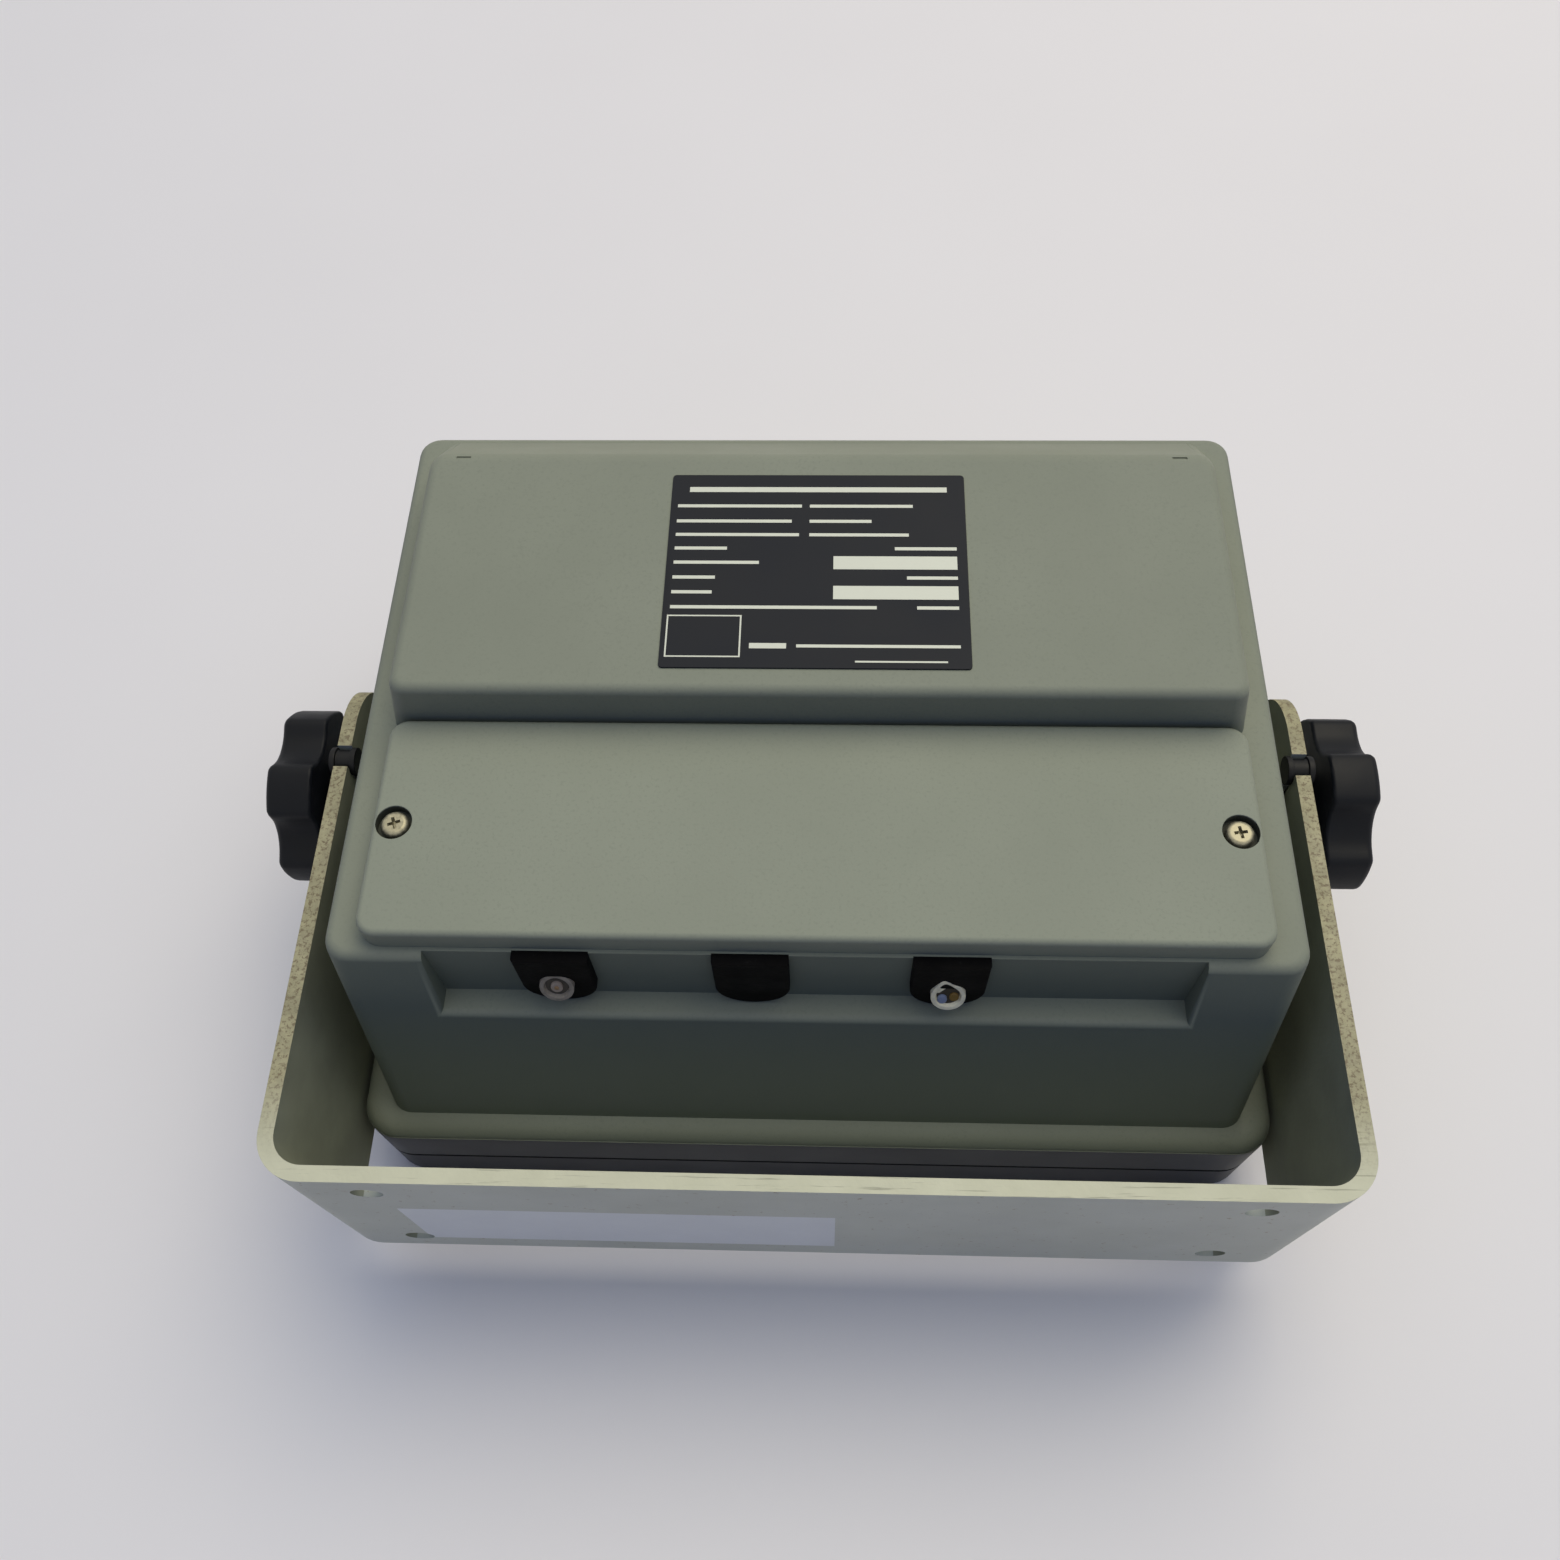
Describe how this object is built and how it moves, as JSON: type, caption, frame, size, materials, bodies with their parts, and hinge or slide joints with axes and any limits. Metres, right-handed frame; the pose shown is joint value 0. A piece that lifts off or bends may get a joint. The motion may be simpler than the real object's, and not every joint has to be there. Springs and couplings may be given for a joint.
{
  "type": "navtex receiver",
  "caption": "Marine text receiver lying face down: moulded case with a screwed connector cover, sealed front with keys, display and printer, and a tilting U bracket on star knobs.",
  "frame": {"origin": "on the surface it lies on, under the middle of the whole object's box", "axes": "+X across the receiver, +Y from its bottom to its top, +Z out of its rear"},
  "size_m": [0.305, 0.223, 0.143],
  "materials": {
    "case_plastic": "moulded, fine leather grain",
    "bracket_paint": "stove-enamelled, worn at the edges",
    "knob_plastic": "moulded phenolic, satin",
    "screw_steel": "plated",
    "stud_steel": "plated",
    "insert_brass": "turned",
    "plate_film": "printed film with blank pale fields",
    "grommet_rubber": "moulded",
    "coax_sheath": "cut end",
    "power_sheath": "cut end",
    "gasket_rubber": "closed-cell strip",
    "front_plastic": "moulded, satin",
    "socket_nickel": "nickel plated",
    "terminal_plastic": "moulded",
    "washer_nylon": "moulded",
    "board": "solder resist",
    "tin_screen": "tinned",
    "converter_black": "black anodised",
    "switch_black": "moulded",
    "window_clear": "clear acrylic",
    "display_glass": "grey-green liquid crystal",
    "lens_amber": "moulded acrylic",
    "buzzer_black": "moulded",
    "sheet_steel": "zinc plated",
    "head_ceramic": "glazed ceramic",
    "motor_can": "zinc plated can",
    "key_plastic": "moulded, satin",
    "door_plastic": "moulded, satin",
    "roller_rubber": "ground",
    "paper": "uncoated roll paper"
  },
  "bodies": {
    "receiver": {"rear_case": "case_plastic", "connector_cover": "case_plastic", "cover_screws": "screw_steel", "cover_inserts": "insert_brass", "nameplate": "plate_film", "grommet_left": "grommet_rubber", "grommet_blank": "grommet_rubber", "grommet_right": "grommet_rubber", "coax_stub": "coax_sheath", "power_stub": "power_sheath", "coax_socket": "socket_nickel", "terminal_strip": "terminal_plastic", "knob_inserts": "insert_brass", "pivot_washers": "washer_nylon", "front_gasket": "gasket_rubber", "front_panel": "front_plastic", "panel_screws": "screw_steel", "main_board": "board", "board_screws": "screw_steel", "receiver_shield": "tin_screen", "power_converter": "converter_black", "key_board": "board", "key_switches": "switch_black", "display_window": "window_clear", "display_module": "display_glass", "indicator_lenses": "lens_amber", "buzzer": "buzzer_black", "printer_chassis": "sheet_steel", "print_head": "head_ceramic", "head_bar": "sheet_steel", "platen_bushes": "insert_brass", "feed_motor": "motor_can", "roll_spindle": "stud_steel", "door_pin": "stud_steel"},
    "bracket": {"bracket": "bracket_paint", "slot_keepers": "washer_nylon"},
    "knob_left": {"knob_left": "knob_plastic", "stud_left": "stud_steel", "knob_washer_left": "stud_steel"},
    "knob_right": {"knob_right": "knob_plastic", "stud_right": "stud_steel", "knob_washer_right": "stud_steel"},
    "key_power": {"key_power": "key_plastic"},
    "key_alarm": {"key_alarm": "key_plastic"},
    "key_feed": {"key_feed": "key_plastic"},
    "key_select": {"key_select": "key_plastic"},
    "key_dimmer": {"key_dimmer": "key_plastic"},
    "key_test": {"key_test": "key_plastic"},
    "paper_door": {"paper_door": "door_plastic", "door_window": "window_clear"},
    "platen": {"platen_shaft": "stud_steel", "platen_roller": "roller_rubber"},
    "paper_roll": {"paper_roll": "paper"}
  },
  "joints": [
    {"name": "bracket_tilt", "type": "hinge", "parent": "receiver", "child": "bracket", "pos_m": [0, 0.0055, 0.074], "axis": [1, 0, 0], "range_deg": [-180, 25]},
    {"name": "knob_left_turn", "type": "hinge", "parent": "receiver", "child": "knob_left", "pos_m": [-0.143, 0.0055, 0.074], "axis": [1, 0, 0], "continuous": true},
    {"name": "knob_right_turn", "type": "hinge", "parent": "receiver", "child": "knob_right", "pos_m": [0.143, 0.0055, 0.074], "axis": [1, 0, 0], "continuous": true},
    {"name": "key_power_press", "type": "slide", "parent": "receiver", "child": "key_power", "axis": [0, 0, 1], "range_m": [0, 0.0008], "stiffness_N_per_m": 700, "springref_m": -0.0015},
    {"name": "key_alarm_press", "type": "slide", "parent": "receiver", "child": "key_alarm", "axis": [0, 0, 1], "range_m": [0, 0.0008], "stiffness_N_per_m": 700, "springref_m": -0.0015},
    {"name": "key_feed_press", "type": "slide", "parent": "receiver", "child": "key_feed", "axis": [0, 0, 1], "range_m": [0, 0.0008], "stiffness_N_per_m": 700, "springref_m": -0.0015},
    {"name": "key_select_press", "type": "slide", "parent": "receiver", "child": "key_select", "axis": [0, 0, 1], "range_m": [0, 0.0008], "stiffness_N_per_m": 700, "springref_m": -0.0015},
    {"name": "key_dimmer_press", "type": "slide", "parent": "receiver", "child": "key_dimmer", "axis": [0, 0, 1], "range_m": [0, 0.0008], "stiffness_N_per_m": 700, "springref_m": -0.0015},
    {"name": "key_test_press", "type": "slide", "parent": "receiver", "child": "key_test", "axis": [0, 0, 1], "range_m": [0, 0.0008], "stiffness_N_per_m": 700, "springref_m": -0.0015},
    {"name": "paper_door_swing", "type": "hinge", "parent": "receiver", "child": "paper_door", "pos_m": [0.062, 0.0687, 0.007], "axis": [1, 0, 0], "range_deg": [0, 100]},
    {"name": "platen_turn", "type": "hinge", "parent": "receiver", "child": "platen", "pos_m": [0.062, -0.0325, 0.022], "axis": [1, 0, 0], "continuous": true},
    {"name": "paper_roll_turn", "type": "hinge", "parent": "receiver", "child": "paper_roll", "pos_m": [0.062, 0.0213, 0.038], "axis": [1, 0, 0], "continuous": true}
  ],
  "couplings": [
    {"joint": "paper_roll_turn", "follows": "platen_turn", "ratio": -0.35}
  ]
}
